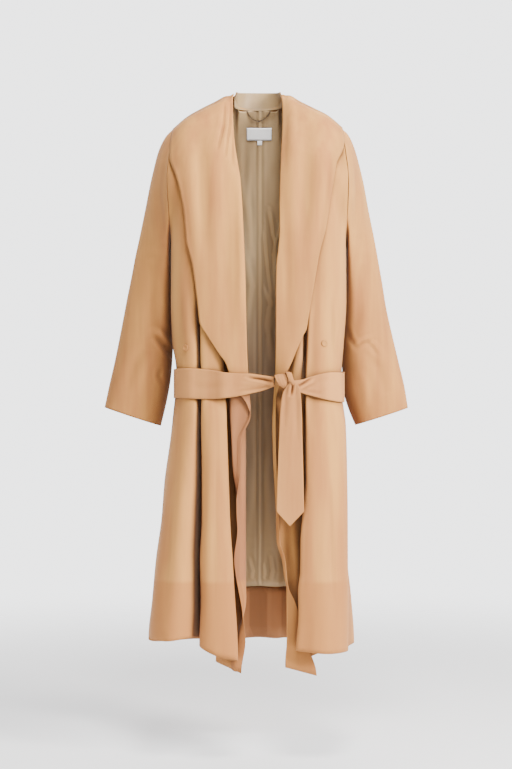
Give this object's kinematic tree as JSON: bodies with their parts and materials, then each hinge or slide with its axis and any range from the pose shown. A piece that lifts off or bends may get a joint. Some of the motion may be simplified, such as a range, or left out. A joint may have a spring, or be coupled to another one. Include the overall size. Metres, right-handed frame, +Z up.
{
  "type": "draped open-front coat with tied sash",
  "caption": "Long open-front draped coat with turned-back waterfall lapels, wide sleeves, a khaki-lined back and a sash tied in a single knot at the waist.",
  "frame": {"origin": "the nape: the middle of the seam between the back panel and the collar stand", "axes": "+Z up, +X to the viewer's right, which is the wearer's left, and -Y out of the open front"},
  "size_m": [0.6586, 0.2618, 1.249],
  "materials": {
    "camel_twill": "matte fluid twill with a faint nap",
    "khaki_lining": "smooth lining with a soft sheen",
    "label_cloth": "blank woven label",
    "covered_button": "button covered in the coat's cloth",
    "gunmetal": "dark chain"
  },
  "bodies": {
    "root": {"right_front": "camel_twill", "left_front": "camel_twill", "back": "camel_twill", "right_sleeve": "camel_twill", "left_sleeve": "camel_twill", "collar_stand": "camel_twill", "neck_facing": "khaki_lining", "back_lining": "khaki_lining", "back_hem_facing": "camel_twill", "sash_band": "camel_twill", "sash_knot": "camel_twill", "sash_tail": "camel_twill", "sash_under_tail": "camel_twill", "neck_label": "label_cloth", "size_label": "label_cloth", "hanger_chain": "gunmetal", "right_button": "covered_button", "left_button": "covered_button"}
  },
  "joints": []
}
